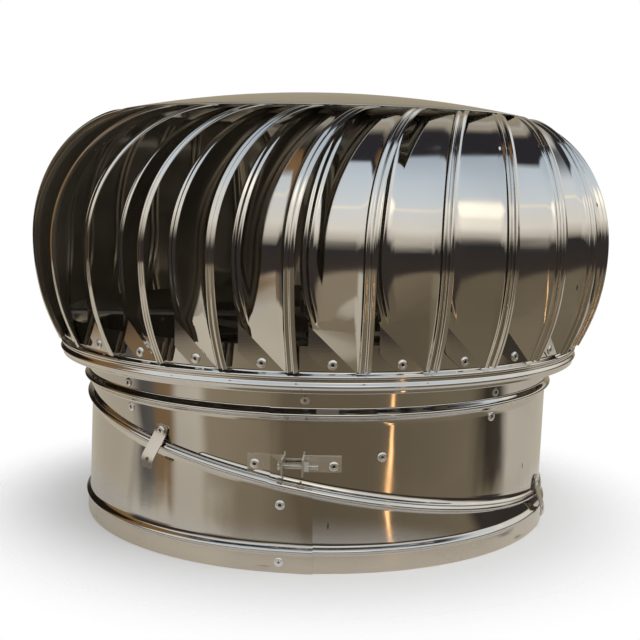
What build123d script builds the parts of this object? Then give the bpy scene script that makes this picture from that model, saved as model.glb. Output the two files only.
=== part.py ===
from build123d import *
import os
from math import cos, degrees, hypot, radians, sin, sqrt, tan

# A wind-driven roof exhaust fan: a two-part adjustable base that slips over a round duct, and a rotor
# of curved vanes that spins on a fixed shaft. Millimetres, +Z up, the axis on Z, the base rim at z = 0
# and the side with the clamp facing -Y. Angles around the axis are counted from -Y towards +X.

# Sheets and clearances
sheet = 1.0
vane_sheet = 0.8
seat_gap = 0.1
swivel_clearance = 0.5
running_clearance = 0.05

# Base: the lower collar, the slanting seam and the upper collar
collar_radius = 250.5
skirt_step = 2.5
skirt_height = 17.0
skirt_bead_width = 8.0
skirt_bead_proud = 3.0
seam_margin = 9.3
seam_tilt = 11.0
seam_azimuth = -6.8
seam_step = 1.9
seam_bead_half = 5.5
seam_bead_proud = 4.4
seam_lip = 4.0
seam_lip_inset = 2.4
seam_foot_overlap = 0.5
neck_margin = 16.3
collar_bead_width = 11.0
collar_bead_flat = 3.0
collar_bead_proud = 5.5
neck_height = 48.0

# Straps that hold the two collars together
strap_angles = (-37.0, 68.0, 195.0)
strap_width = 15.0
strap_sheet = 1.2
strap_above = 13.0
strap_below = 21.5
strap_gap = 0.5
strap_rivet = 6.0
strap_crest_clearance = 1.2
strap_bead_clearance = 0.8
strap_flare = 1.0
strap_hole_radius = 2.2
strap_hole_inset = 7.5

# Clamp that tightens the upper collar
clamp_angle = -4.45
front_direction = -90.0
clamp_lift = 6.1
clamp_gap = 16.0
clamp_plate_length = 35.0
clamp_plate_height = 15.0
clamp_sheet = 1.5
clamp_flange = 20.0
clamp_corner = 4.0
clamp_seat = 0.2
clamp_rivet_offset = 28.0
clamp_rivet_drop = 2.0
bolt_offset = 12.0
bolt_radius = 2.5
bolt_clearance = 0.5
bolt_seat = 0.2
bolt_tail = 13.0
bolt_head_height = 3.5
nut_across_flats = 8.0
nut_height = 4.0

# Fixed cross and shaft
cross_angle = -47.0
cross_bar_width = 25.0
cross_bar_thickness = 3.0
cross_bar_drop = 20.0
cross_rivet_above = 5.5
cross_rivet_below = 6.5
cross_tab_below = 5.0
cross_clearance = 1.9
shaft_radius = 7.5
shaft_nut_flats = 24.0
shaft_nut_height = 12.0
shaft_washer_radius = 18.0
shaft_washer_thickness = 2.0
shaft_tail = 6.0
shaft_tip_clearance = 2.0
shaft_clearance = 1.5

# Rotor ring
ring_gap = 27.0
ring_overlap = 24.0
ring_height = 42.0
ring_lip = 2.4
ring_bead_pitch = 8.4
ring_bead_proud = 3.5
ring_valley = 1.5

# Vanes
vane_count = 28
vane_first_angle = 2.7
belly_height = 60.6
vane_belly = 30.7
bead_offset = 33.5
vane_lean = 27.0
vane_width = 71.7
vane_top_width = 62.0
upper_bend_radius = 132.5
foot_proud = 3.9
upper_bend_angles = (22.0, 44.0, 66.0)
tongue_angle = 88.0
rib_width = 6.2
rib_height = 2.2
rib_runout = 0.3
fold_share = 0.8
fold_height = 40.4
fold_left = -21.6
fold_right = 20.0
tab_lift = 0.8
tab_chamfer = 14.7
tab_corner = -4.1
tab_overlap = 1.5
tab_rivet = 6.0

# Cap, hub and bearings
cap_overhang = 3.2
cap_rise = 22.8
cap_cones = 2
cap_gap = 0.3
plug_radius = 7.0
plug_stem_radius = 4.0
plug_height = 2.0
plug_top_radius = 5.8
plug_sides = 12
plug_stem_length = 3.0
bearing_radius = 17.5
bearing_width = 11.0
housing_wall = 3.0
housing_lip = 2.0
flange_radius = 42.0
flange_thickness = 2.5
thrust_collar_radius = 12.0
thrust_collar_width = 9.0
thrust_gap = 0.2
rotor_bar_width = 25.0
rotor_bar_thickness = 3.0
rotor_bar_lift = 8.0
rotor_tab_below = 9.0

# Rivets
rivet_radius = 4.6
rivet_head = 1.4
rivet_sides = 10
rivet_top_radius = 3.3
neck_rivet_angle = -2.4
neck_rivet_above = 7.5
wall_rivet_angle = 14.5
wall_rivet_drop = 39.6
skirt_rivet_angle = -7.3
skirt_rivet_height = 9.6
lower_rivet_drop = 20.1

# Radii and levels that follow from the sizes above
skirt_radius = collar_radius + skirt_step
skirt_bead_top = skirt_height + skirt_bead_width
skirt_bead_crest = skirt_height + skirt_bead_width / 2
seam_rise = collar_radius * tan(radians(seam_tilt))
seam_height = skirt_bead_top + seam_margin + seam_rise
collar_bead_height = seam_height + seam_rise + neck_margin
collar_bead_bottom = collar_bead_height - collar_bead_width / 2
collar_bead_top = collar_bead_height + collar_bead_width / 2
neck_top = collar_bead_height + neck_height
cross_bar_height = neck_top - cross_bar_drop
cross_rivet_high = collar_bead_top + cross_rivet_above
cross_rivet_low = collar_bead_bottom - cross_rivet_below
ring_radius = collar_radius + ring_gap
ring_bottom = neck_top - ring_overlap
ring_top = ring_bottom + ring_height
upper_bead_top = ring_bottom + ring_lip + 2 * ring_bead_pitch
tab_distance = ring_radius + seat_gap
tab_face = tab_distance + vane_sheet
tab_bottom = upper_bead_top + tab_lift
tab_side_bottom = tab_bottom + tab_chamfer
fold_top = tab_bottom + fold_height
vane_rivet_height = tab_bottom + tab_rivet
equator_height = fold_top + belly_height
equator_reach = ring_radius + vane_belly
foot_inward = equator_reach - tab_face - foot_proud
foot_drop = equator_height - tab_bottom
lower_bend_radius = (foot_inward**2 + foot_drop**2) / (2 * foot_inward)
rotor_bar_height = neck_top + rotor_bar_lift
neck_rivet_height = collar_bead_top + neck_rivet_above
wall_rivet_height = collar_bead_height - wall_rivet_drop
lower_rivet_height = seam_height - lower_rivet_drop


def facing(angle, distance, height):
    """Plane that faces outward at an angle from the front, with local x to the right and local y up."""
    turn = radians(angle)
    return Plane(
        origin=(distance * sin(turn), -distance * cos(turn), height),
        x_dir=(cos(turn), sin(turn), 0),
        z_dir=(sin(turn), -cos(turn), 0),
    )


def save(builder, name):
    """Label a finished sub-part and write it out under that name."""
    builder.part.label = name
    export_step(builder.part, f"parts/{name}.step")


def lathe(outline, plane, axis):
    """Solid of revolution of a closed outline of (radius, height) points."""
    with BuildPart() as turned:
        with BuildSketch(plane):
            with BuildLine():
                Polyline(*outline, close=True)
            make_face()
        revolve(axis=axis)
    return turned.part


def slanting_wall(low_plane, low_radius, high_plane, high_radius):
    """Thin wall between two round rims on planes that need not be parallel."""
    with BuildPart() as wall:
        for inset, how in ((0, Mode.ADD), (sheet, Mode.SUBTRACT)):
            with BuildSketch(low_plane) as low_rim:
                Circle(low_radius - inset)
            with BuildSketch(high_plane) as high_rim:
                Circle(high_radius - inset)
            loft(sections=[low_rim.sketch, high_rim.sketch], ruled=True, mode=how)
    return wall.part


os.makedirs("parts", exist_ok=True)

# Seam frame: the swivel axis leans towards the low side of the seam
lean = radians(seam_tilt)
lean_way = radians(seam_azimuth)
swivel_direction = Vector(sin(lean) * cos(lean_way), sin(lean) * sin(lean_way), cos(lean))
level_direction = Vector(-sin(lean_way), cos(lean_way), 0)
seam_centre = Vector(0, 0, seam_height)
swivel_axis = Axis(seam_centre, swivel_direction)
seam_plane = Plane(seam_centre, x_dir=level_direction, z_dir=swivel_direction)
seam_section = Plane(seam_centre, x_dir=level_direction, z_dir=level_direction.cross(swivel_direction))


def level_plane(height):
    """Level plane whose local x agrees with that of the seam plane."""
    return Plane((0, 0, height), x_dir=level_direction, z_dir=(0, 0, 1))


# Lower collar: skirt with its bead, slanting wall and the inner bead of the seam
lower_wall_radius = collar_radius
seam_inner_radius = collar_radius + seam_step - sheet - swivel_clearance
skirt = lathe(
    [
        (skirt_radius - sheet, 0),
        (skirt_radius, 0),
        (skirt_radius, skirt_height),
        (skirt_radius + skirt_bead_proud, skirt_bead_crest),
        (lower_wall_radius, skirt_bead_top),
        (lower_wall_radius - sheet, skirt_bead_top),
        (skirt_radius - sheet, skirt_height + sheet),
    ],
    Plane.XZ,
    Axis.Z,
)
inner_bead = lathe(
    [
        (seam_inner_radius - sheet, -seam_bead_half),
        (seam_inner_radius, -seam_bead_half),
        (seam_inner_radius + seam_bead_proud, 0),
        (seam_inner_radius, seam_bead_half),
        (seam_inner_radius - sheet, seam_bead_half),
    ],
    seam_section,
    swivel_axis,
)
lower_wall = slanting_wall(
    level_plane(skirt_bead_top), lower_wall_radius, seam_plane.offset(-seam_bead_half), seam_inner_radius
)
with BuildPart() as lower_collar:
    add(skirt)
    add(lower_wall)
    add(inner_bead)
save(lower_collar, "lower_collar")

# Upper collar: outer bead of the seam, slanting wall, bead and neck
seam_outer_radius = collar_radius + seam_step
upper_wall_foot = seam_bead_half + sheet
outer_bead = lathe(
    [
        (seam_outer_radius, upper_wall_foot),
        (seam_outer_radius + seam_bead_proud, 0),
        (seam_outer_radius + seam_bead_proud - seam_lip_inset, -seam_lip),
        (seam_outer_radius + seam_bead_proud - seam_lip_inset - sheet, -seam_lip),
        (seam_outer_radius + seam_bead_proud - sheet, 0),
        (seam_outer_radius - sheet, upper_wall_foot - seam_foot_overlap),
        (seam_outer_radius - sheet, upper_wall_foot),
    ],
    seam_section,
    swivel_axis,
)
neck = lathe(
    [
        (collar_radius - sheet, collar_bead_bottom),
        (collar_radius, collar_bead_bottom),
        (collar_radius + collar_bead_proud, collar_bead_height - collar_bead_flat / 2),
        (collar_radius + collar_bead_proud, collar_bead_height + collar_bead_flat / 2),
        (collar_radius, collar_bead_top),
        (collar_radius, neck_top),
        (collar_radius - sheet, neck_top),
    ],
    Plane.XZ,
    Axis.Z,
)
upper_wall = slanting_wall(
    seam_plane.offset(upper_wall_foot),
    seam_outer_radius,
    level_plane(collar_bead_bottom),
    collar_radius,
)
with BuildPart() as upper_collar:
    add(outer_bead)
    add(upper_wall)
    add(neck)
save(upper_collar, "upper_collar")

# Rotor ring: a plain band above two beads
with BuildPart() as rotor_ring:
    add(
        lathe(
            [
                (ring_radius - sheet, ring_bottom),
                (ring_radius + sheet, ring_bottom),
                (ring_radius + sheet, ring_bottom + ring_lip),
                (ring_radius + ring_bead_proud, ring_bottom + ring_lip + ring_bead_pitch / 2),
                (ring_radius + ring_valley, ring_bottom + ring_lip + ring_bead_pitch),
                (ring_radius + ring_bead_proud, ring_bottom + ring_lip + 3 * ring_bead_pitch / 2),
                (ring_radius, upper_bead_top),
                (ring_radius, ring_top),
                (ring_radius - sheet, ring_top),
            ],
            Plane.XZ,
            Axis.Z,
        )
    )
save(rotor_ring, "rotor_ring")

# Vane: a strip with two ribs along each edge, rolled to a curve, with a riveted tab folded at its foot.
# It is drawn with its rivet straight ahead, so x runs to the right and -y outward.
strip_lean = radians(vane_lean)
strip_way = Vector(-cos(strip_lean), sin(strip_lean), 0)
strip_outward = Vector(-sin(strip_lean), -cos(strip_lean), 0)
equator_edge = Vector(bead_offset, -equator_reach, equator_height)
bend_centre = equator_edge - strip_outward * upper_bend_radius


def strip_outline(width, near_rib, far_rib, far_width):
    """Closed section of the strip: local x from the outer edge inward, local y outward."""
    near = [(i * rib_width / 2, near_rib * (i % 2)) for i in range(5)]
    far = [(width - far_width + i * far_width / 4, far_rib * (i % 2)) for i in range(5)]
    return near + far + [(width, -vane_sheet), (0, -vane_sheet)]


def foot_edge(height):
    """Outer edge of the strip below the equator."""
    drop = equator_height - height
    inward = lower_bend_radius - sqrt(lower_bend_radius**2 - drop**2)
    return Vector(bead_offset, -equator_reach + inward, height)


def fold_point(height):
    """Point of the slanting fold between the strip and its tab."""
    share = (fold_top - height) / (fold_top - tab_bottom)
    return Vector(fold_left + share * (fold_right - fold_left), -tab_face, height)


def foot_section(height):
    """Plane and width of the strip where it meets the fold at a height."""
    edge = foot_edge(height)
    across = fold_point(height) - edge
    return Plane(edge, x_dir=across, z_dir=(0, 0, 1)), across.length


def bend_section(angle):
    """Plane of the strip at an angle up its upper bend."""
    outward = strip_outward * cos(radians(angle)) + Vector(0, 0, 1) * sin(radians(angle))
    origin = bend_centre + outward * upper_bend_radius
    return Plane(origin, x_dir=strip_way, z_dir=strip_way.cross(outward))


def bend_width(angle):
    return vane_width + (vane_top_width - vane_width) * angle / tongue_angle


def corner_points_at(plane, outline, height):
    """Corners of an outline in space, at a height above its plane."""
    return [plane.from_local_coords((x, y, height)) for x, y in outline]


def corner_points(plane, outline):
    """Corners of a section in space."""
    return corner_points_at(plane, outline, 0)


def flat_sided_strip(loops):
    """Solid with flat faces between neighbouring loops of corners, closed at both ends."""
    faces = [Face(Wire.make_polygon(loops[0])), Face(Wire.make_polygon(loops[-1]))]
    for low, high in zip(loops, loops[1:]):
        for i in range(len(low)):
            j = (i + 1) % len(low)
            faces.append(Face(Wire.make_polygon([low[i], low[j], high[j]])))
            faces.append(Face(Wire.make_polygon([low[i], high[j], high[i]])))
    return Solid(Shell(faces))


def stud(plane, rings, sides):
    """Flat-sided stud through rings of (radius, height) on a plane."""
    turns = [radians(360 * i / sides) for i in range(sides)]
    loops = []
    for radius, height in rings:
        loops.append(corner_points_at(plane, [(radius * cos(t), radius * sin(t)) for t in turns], height))
    return flat_sided_strip(loops)


foot_plane, foot_width = foot_section(tab_bottom)
fold_plane, fold_width = foot_section(fold_top)
tongue = bend_section(tongue_angle)
ribs_wide = 2 * rib_width
fold_run = (foot_width - ribs_wide) * fold_share
loops = [
    corner_points(foot_plane, strip_outline(foot_width, rib_height, rib_runout, fold_run)),
    corner_points(fold_plane, strip_outline(fold_width, rib_height, rib_height, ribs_wide)),
]
for angle in (0.0,) + upper_bend_angles:
    outline = strip_outline(bend_width(angle), rib_height, rib_height, ribs_wide)
    loops.append(corner_points(bend_section(angle), outline))
loops.append(corner_points(tongue, strip_outline(vane_top_width, rib_runout, rib_runout, ribs_wide)))
strip = flat_sided_strip(loops)

with BuildPart() as vane:
    add(strip)
    with BuildSketch(facing(0, tab_distance, 0)):
        with BuildLine():
            Polyline(
                (fold_left, fold_top),
                (fold_left, tab_side_bottom),
                (tab_corner, tab_bottom),
                (fold_right + tab_overlap, tab_bottom),
                (fold_left + tab_overlap, fold_top),
                close=True,
            )
        make_face()
    extrude(amount=vane_sheet)

for number in range(vane_count):
    with BuildPart() as vane_copy:
        add(vane.part, rotation=(0, 0, vane_first_angle + number * 360 / vane_count))
    save(vane_copy, f"vane_{number + 1:02d}")

# Top cap: a shallow dome that rests on the outer corners of the vane tongues
tongue_reach = hypot(tongue.origin.X, tongue.origin.Y)
cap_radius = tongue_reach + cap_overhang
cap_sphere = (cap_radius**2 + cap_rise**2) / (2 * cap_rise)
cap_seat = tongue.origin.Z + rib_runout + cap_gap
cap_centre = cap_seat - sqrt((cap_sphere - sheet) ** 2 - tongue_reach**2)


def dome_height(radius, inset):
    """Height of the dome's outer face at a radius, or of a face inset from it."""
    return cap_centre + sqrt((cap_sphere - inset) ** 2 - radius**2)


plug_hole = plug_stem_radius + seat_gap
cone_width = (cap_radius - plug_hole) / cap_cones
cap_steps = [plug_hole + cone_width * i for i in range(cap_cones + 1)]
cap_outside = [(radius, dome_height(radius, 0)) for radius in cap_steps]
cap_inside = [(radius, dome_height(radius, sheet)) for radius in reversed(cap_steps)]
with BuildPart() as top_cap:
    add(lathe(cap_outside + cap_inside, Plane.XZ, Axis.Z))
save(top_cap, "top_cap")


def cap_underside(radius):
    """Height of the cap's lower face, which is straight between the edges of its cones."""
    inner = plug_hole + cone_width * ((radius - plug_hole) // cone_width)
    share = (radius - inner) / cone_width
    return dome_height(inner, sheet) * (1 - share) + dome_height(inner + cone_width, sheet) * share


plug_seat = dome_height(plug_hole, 0) + seat_gap
plug_rings = [
    (plug_stem_radius, -plug_stem_length),
    (plug_stem_radius, 0),
    (plug_radius, 0),
    (plug_top_radius, plug_height),
]
with BuildPart() as cap_plug:
    add(stud(Plane.XY.offset(plug_seat), plug_rings, plug_sides))
save(cap_plug, "cap_plug")

# Bearing housings: a flange and a sleeve, the upper one hung under the dome, the lower one on the rotor bars
housing_bore = bearing_radius + seat_gap
housing_radius = housing_bore + housing_wall
flange_hole = shaft_radius + shaft_clearance
bearing_bore = shaft_radius + running_clearance


def bearing_housing(flange_face, way):
    """Housing whose flange rests on a level face and whose sleeve runs from it upward or downward."""
    floor = flange_face + way * flange_thickness
    mouth = floor + way * (bearing_width + housing_lip)
    return lathe(
        [
            (flange_hole, flange_face),
            (flange_radius, flange_face),
            (flange_radius, floor),
            (housing_radius, floor),
            (housing_radius, mouth),
            (housing_bore, mouth),
            (housing_bore, floor),
            (flange_hole, floor),
        ],
        Plane.XZ,
        Axis.Z,
    )


def tube(outer, inner, bottom, height):
    """Upright ring about the axis."""
    with BuildPart() as ring:
        with BuildSketch(Plane.XY.offset(bottom)):
            Circle(outer)
            Circle(inner, mode=Mode.SUBTRACT)
        extrude(amount=height)
    return ring.part


upper_flange_face = cap_underside(flange_radius) - seat_gap
with BuildPart() as upper_housing:
    add(bearing_housing(upper_flange_face, -1))
save(upper_housing, "upper_housing")

upper_bearing_bottom = upper_flange_face - flange_thickness - seat_gap - bearing_width
with BuildPart() as upper_bearing:
    add(tube(bearing_radius, bearing_bore, upper_bearing_bottom, bearing_width))
save(upper_bearing, "upper_bearing")

lower_flange_face = rotor_bar_height + 2 * rotor_bar_thickness
with BuildPart() as lower_housing:
    add(bearing_housing(lower_flange_face, 1))
save(lower_housing, "lower_housing")

lower_bearing_bottom = lower_flange_face + flange_thickness + seat_gap
with BuildPart() as lower_bearing:
    add(tube(bearing_radius, bearing_bore, lower_bearing_bottom, bearing_width))
save(lower_bearing, "lower_bearing")


def flat_bar(angle, reach, bottom, thickness, width, tab_end, hole):
    """Flat bar across the axis with a hole for the shaft and both ends bent down into tabs."""
    top = bottom + thickness
    with BuildPart() as bar:
        with BuildSketch(facing(angle, 0, 0)):
            with BuildLine():
                Polyline(
                    (-reach, tab_end),
                    (-reach, top),
                    (reach, top),
                    (reach, tab_end),
                    (reach - thickness, tab_end),
                    (reach - thickness, bottom),
                    (thickness - reach, bottom),
                    (thickness - reach, tab_end),
                    close=True,
                )
            make_face()
        extrude(amount=width / 2, both=True)
        with BuildSketch(Plane.XY.offset(bottom)):
            Circle(hole)
        extrude(amount=thickness, mode=Mode.SUBTRACT)
    return bar.part


# Rotor bars: a cross whose tabs reach the inside of the ring under four of the vane rivets
rotor_reach = sqrt((ring_radius - sheet - seat_gap) ** 2 - (rotor_bar_width / 2) ** 2)
for number in range(2):
    with BuildPart() as rotor_bar:
        add(
            flat_bar(
                vane_first_angle + 90 * (number + 1),
                rotor_reach,
                rotor_bar_height + number * rotor_bar_thickness,
                rotor_bar_thickness,
                rotor_bar_width,
                vane_rivet_height - rotor_tab_below,
                flange_hole,
            )
        )
    save(rotor_bar, f"rotor_bar_{number + 1}")

# Fixed cross in the neck, with the shaft clamped through its middle
cross_reach = collar_radius - sheet - cross_clearance
shaft_hole = shaft_radius + seat_gap
for number in range(2):
    with BuildPart() as cross_bar:
        add(
            flat_bar(
                cross_angle + 90 * (number + 1),
                cross_reach,
                cross_bar_height + number * cross_bar_thickness,
                cross_bar_thickness,
                cross_bar_width,
                cross_rivet_low - cross_tab_below,
                shaft_hole,
            )
        )
    save(cross_bar, f"cross_bar_{number + 1}")

cross_top = cross_bar_height + 2 * cross_bar_thickness
lower_nut_top = cross_bar_height - shaft_washer_thickness
shaft_bottom = lower_nut_top - shaft_nut_height - shaft_tail
shaft_top = upper_flange_face - shaft_tip_clearance
with BuildPart() as shaft:
    with BuildSketch(Plane.XY.offset(shaft_bottom)):
        Circle(shaft_radius)
    extrude(amount=shaft_top - shaft_bottom)
save(shaft, "shaft")

with BuildPart() as shaft_washer:
    add(tube(shaft_washer_radius, shaft_hole, lower_nut_top, shaft_washer_thickness))
save(shaft_washer, "shaft_washer")

with BuildPart() as shaft_nuts:
    for bottom in (lower_nut_top - shaft_nut_height, cross_top):
        with BuildSketch(Plane.XY.offset(bottom)):
            RegularPolygon(shaft_nut_flats / 2, 6, major_radius=False)
            Circle(shaft_hole, mode=Mode.SUBTRACT)
        extrude(amount=shaft_nut_height)
save(shaft_nuts, "shaft_nuts")

thrust_top = upper_bearing_bottom - thrust_gap
with BuildPart() as thrust_collar:
    add(tube(thrust_collar_radius, shaft_hole, thrust_top - thrust_collar_width, thrust_collar_width))
save(thrust_collar, "thrust_collar")

# Places on the slanting walls of the base


def wall_point(angle, height):
    """Point of the upper slanting wall's outer face at an angle from the front and a height."""
    turn = radians(angle)
    out = Vector(sin(turn), -cos(turn), 0)
    along = (out - swivel_direction * out.dot(swivel_direction)).normalized()
    low = seam_centre + swivel_direction * upper_wall_foot + along * seam_outer_radius
    level = along - Vector(0, 0, along.Z)
    high = level.normalized() * collar_radius + Vector(0, 0, collar_bead_bottom)
    return low + (high - low) * ((height - low.Z) / (high.Z - low.Z))


def wall_radius(angle, height):
    spot = wall_point(angle, height)
    return hypot(spot.X, spot.Y)


def wall_plane(angle, height):
    """Plane that lies on the upper slanting wall, with local y up and local z outward."""
    spot = wall_point(angle, height)
    up = wall_point(angle, height + 1) - spot
    across = wall_point(angle + 1, height) - wall_point(angle - 1, height)
    return Plane(spot, x_dir=across, z_dir=across.cross(up))


def seam_level(angle):
    """Height of the seam at an angle from the front."""
    turn = radians(angle)
    slope = swivel_direction.X * sin(turn) - swivel_direction.Y * cos(turn)
    return seam_height - seam_outer_radius * slope / swivel_direction.Z


# Straps: riveted to the upper collar above the seam, bent out over its bead and free at the lower end,
# far enough out to pass the skirt's bead on the low side when the collar is turned
strap_crest = seam_bead_proud + strap_crest_clearance
strap_end = -upper_wall_foot - strap_below
low_way = Vector(cos(lean_way), sin(lean_way), 0)
bead_spot = low_way * (skirt_radius + skirt_bead_proud) + Vector(0, 0, skirt_bead_crest) - seam_centre
bead_level = bead_spot.dot(swivel_direction)
bead_reach = (bead_spot - swivel_direction * bead_level).length
strap_pass = bead_reach + strap_bead_clearance - seam_outer_radius
strap_planes = []
for number, angle in enumerate(strap_angles):
    wall = wall_plane(angle, seam_level(angle) + upper_wall_foot)
    along_seam = swivel_direction.cross(wall.z_dir)
    plane = Plane(wall.origin + wall.z_dir * strap_gap, x_dir=along_seam, z_dir=wall.z_dir)
    strap_planes.append(plane)
    lean_out = swivel_direction.dot(plane.z_dir)
    lean_up = swivel_direction.dot(plane.y_dir)
    # Inner face below the wall, given outward from and along the swivel axis
    inner = [(strap_crest, -upper_wall_foot), (strap_pass, bead_level - upper_wall_foot)]
    inner.append((strap_pass + strap_flare, strap_end))
    outer = [(out + strap_sheet, level) for out, level in reversed(inner)]
    hole = (strap_pass + strap_flare, strap_end + strap_hole_inset)
    bent = []
    for out, level in inner + outer + [hole]:
        bent.append((out * lean_up + level * lean_out, level * lean_up - out * lean_out))
    hole_out, hole_level = bent.pop()
    with BuildPart() as strap:
        with BuildSketch(Plane(plane.origin, x_dir=plane.z_dir, z_dir=plane.z_dir.cross(plane.y_dir))):
            with BuildLine():
                Polyline(
                    (0, strap_above),
                    (0, 0),
                    *bent,
                    (strap_sheet, 0),
                    (strap_sheet, strap_above),
                    close=True,
                )
            make_face()
        extrude(amount=strap_width / 2, both=True)
        with BuildSketch(plane):
            with Locations((0, hole_level)):
                Circle(strap_hole_radius)
        extrude(amount=hole_out + 2 * strap_sheet, mode=Mode.SUBTRACT)
    save(strap, f"strap_{number + 1}")

# Clamp: two angles on the upper collar, drawn together by a bolt
clamp_far_angle = clamp_angle - degrees((clamp_gap / 2 + clamp_plate_length) / collar_radius)
clamp_bottom = seam_level(clamp_far_angle) + clamp_lift
clamp_height = clamp_bottom + clamp_plate_height / 2
clamp_radius = wall_radius(clamp_angle, clamp_bottom) + clamp_seat
half_gap_angle = degrees(clamp_gap / 2 / clamp_radius)
plate_angle = degrees(clamp_plate_length / clamp_radius)
for side, name in ((-1, "clamp_bracket_left"), (1, "clamp_bracket_right")):
    near = clamp_angle + side * half_gap_angle
    far = near + side * plate_angle
    start = min(near, far) + front_direction
    turn = radians(near)
    flange_plane = Plane(
        origin=(clamp_radius * sin(turn), -clamp_radius * cos(turn), clamp_height),
        x_dir=(sin(turn), -cos(turn), 0),
        z_dir=(-cos(turn), -sin(turn), 0),
    )
    with BuildPart() as bracket:
        with BuildSketch(Plane.XY.offset(clamp_bottom)):
            with BuildLine():
                outside = CenterArc((0, 0), clamp_radius + clamp_sheet, start, plate_angle)
                inside = CenterArc((0, 0), clamp_radius, start, plate_angle)
                Line(outside @ 0, inside @ 0)
                Line(outside @ 1, inside @ 1)
            make_face()
        extrude(amount=clamp_plate_height)
        with BuildSketch(flange_plane):
            with Locations((clamp_flange / 2, 0)):
                flange = Rectangle(clamp_flange, clamp_plate_height)
            outward = Axis(flange_plane.origin, flange_plane.x_dir)
            fillet(flange.vertices().group_by(outward)[-1], clamp_corner)
            with Locations((bolt_offset, 0)):
                Circle(bolt_radius + bolt_clearance, mode=Mode.SUBTRACT)
        extrude(amount=-side * clamp_sheet)
    save(bracket, name)

bolt_turn = radians(clamp_angle)
bolt_reach = clamp_radius + bolt_offset
bolt_plane = Plane(
    origin=(bolt_reach * sin(bolt_turn), -bolt_reach * cos(bolt_turn), clamp_height),
    x_dir=(0, 0, 1),
    z_dir=(cos(bolt_turn), sin(bolt_turn), 0),
)
flange_outside = (clamp_gap / 2 + clamp_sheet) * (1 + bolt_offset / clamp_radius) + bolt_seat
with BuildPart() as clamp_bolt:
    with BuildSketch(bolt_plane.offset(-flange_outside)):
        Circle(bolt_radius)
    extrude(amount=2 * flange_outside + bolt_tail)
    with BuildSketch(bolt_plane.offset(-flange_outside)):
        RegularPolygon(nut_across_flats / 2, 6, major_radius=False)
    extrude(amount=-bolt_head_height)
save(clamp_bolt, "clamp_bolt")

with BuildPart() as clamp_nut:
    with BuildSketch(bolt_plane.offset(flange_outside)):
        RegularPolygon(nut_across_flats / 2, 6, major_radius=False)
        Circle(bolt_radius + seat_gap, mode=Mode.SUBTRACT)
    extrude(amount=nut_height)
save(clamp_nut, "clamp_nut")


# Blind rivets: flat-bottomed domes in groups


def rivet_group(name, planes):
    """Write one node of rivet heads that sit on the given planes."""
    rings = [(rivet_radius, seat_gap), (rivet_top_radius, seat_gap + rivet_head)]
    with BuildPart() as heads:
        for plane in planes:
            add(stud(plane, rings, rivet_sides))
    save(heads, name)


vane_pitch = 360 / vane_count
vane_angles = [vane_first_angle + number * vane_pitch for number in range(vane_count)]
rivet_group("vane_rivets", [facing(angle, tab_face, vane_rivet_height) for angle in vane_angles])
rivet_group(
    "strap_rivets",
    [
        Plane(plane.origin + plane.y_dir * strap_rivet + plane.z_dir * strap_sheet, z_dir=plane.z_dir)
        for plane in strap_planes
    ],
)
rivet_group(
    "bracket_rivets",
    [
        facing(angle, clamp_radius + clamp_sheet, clamp_height - clamp_rivet_drop)
        for angle in (
            clamp_angle - half_gap_angle - degrees(clamp_rivet_offset / clamp_radius),
            clamp_angle + half_gap_angle + degrees(clamp_rivet_offset / clamp_radius),
        )
    ],
)
cross_planes = []
for number in range(4):
    angle = cross_angle + 90 * number
    cross_planes.append(facing(angle, collar_radius, cross_rivet_high))
    cross_planes.append(wall_plane(angle, cross_rivet_low))
rivet_group("cross_rivets", cross_planes)
rivet_group(
    "collar_rivets",
    [
        facing(neck_rivet_angle, collar_radius, neck_rivet_height),
        wall_plane(wall_rivet_angle, wall_rivet_height),
    ],
)
rivet_group(
    "skirt_rivets",
    [
        facing(skirt_rivet_angle, skirt_radius, skirt_rivet_height),
        facing(skirt_rivet_angle, seam_inner_radius, lower_rivet_height),
    ],
)
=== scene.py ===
from math import cos, pi, radians, sin, sqrt

import bpy
from mathutils import Matrix, Vector


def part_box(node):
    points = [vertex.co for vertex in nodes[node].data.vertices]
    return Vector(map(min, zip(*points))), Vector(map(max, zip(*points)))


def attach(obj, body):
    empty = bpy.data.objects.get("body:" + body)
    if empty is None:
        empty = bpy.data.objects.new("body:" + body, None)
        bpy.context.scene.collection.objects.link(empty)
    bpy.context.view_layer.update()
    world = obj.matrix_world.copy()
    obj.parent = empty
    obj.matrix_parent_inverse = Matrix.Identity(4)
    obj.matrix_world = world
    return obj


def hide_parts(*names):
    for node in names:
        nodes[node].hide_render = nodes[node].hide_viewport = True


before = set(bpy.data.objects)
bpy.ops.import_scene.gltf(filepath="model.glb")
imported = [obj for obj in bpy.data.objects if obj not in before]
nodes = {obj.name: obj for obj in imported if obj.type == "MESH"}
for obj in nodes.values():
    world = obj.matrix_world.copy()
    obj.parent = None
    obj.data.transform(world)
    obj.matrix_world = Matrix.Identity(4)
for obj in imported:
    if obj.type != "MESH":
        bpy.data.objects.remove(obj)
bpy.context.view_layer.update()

# All sizes are in millimetres and scaled on the way into a mesh
MM = 0.001
crisp_angle = radians(60)

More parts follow.
